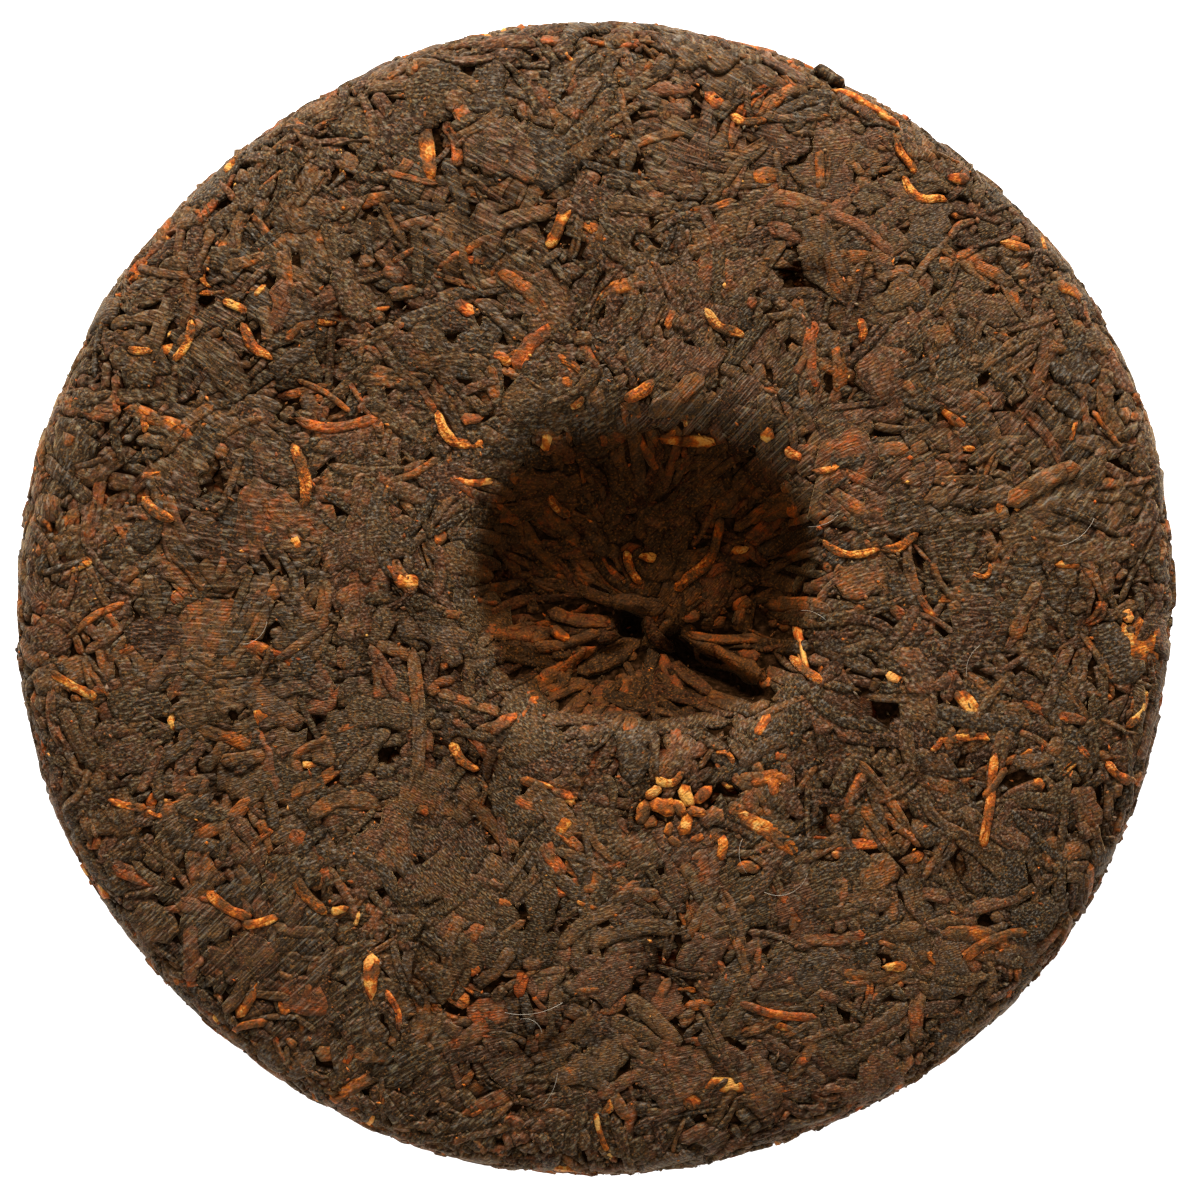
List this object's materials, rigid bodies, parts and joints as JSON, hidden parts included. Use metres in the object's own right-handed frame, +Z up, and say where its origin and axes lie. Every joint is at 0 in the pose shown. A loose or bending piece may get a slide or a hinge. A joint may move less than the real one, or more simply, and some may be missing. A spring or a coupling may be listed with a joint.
{
  "type": "pu erh tea cake",
  "caption": "Round pressed cake of dark fermented pu erh tea leaves, back up, with the off-centre hollow left by the knot of its pressing cloth and a gently domed front.",
  "frame": {"origin": "the middle of the spot that the cake rests on, below the middle of its round outline", "axes": "+Z up, out of the back of the cake with its knot hollow; +X the side that the hollow lies towards; +Y a quarter turn to its left seen from above"},
  "size_m": [0.195, 0.1944, 0.0271],
  "materials": {
    "pressed_tea": "matt"
  },
  "bodies": {
    "root": {"tea_cake": "pressed_tea"}
  },
  "joints": []
}
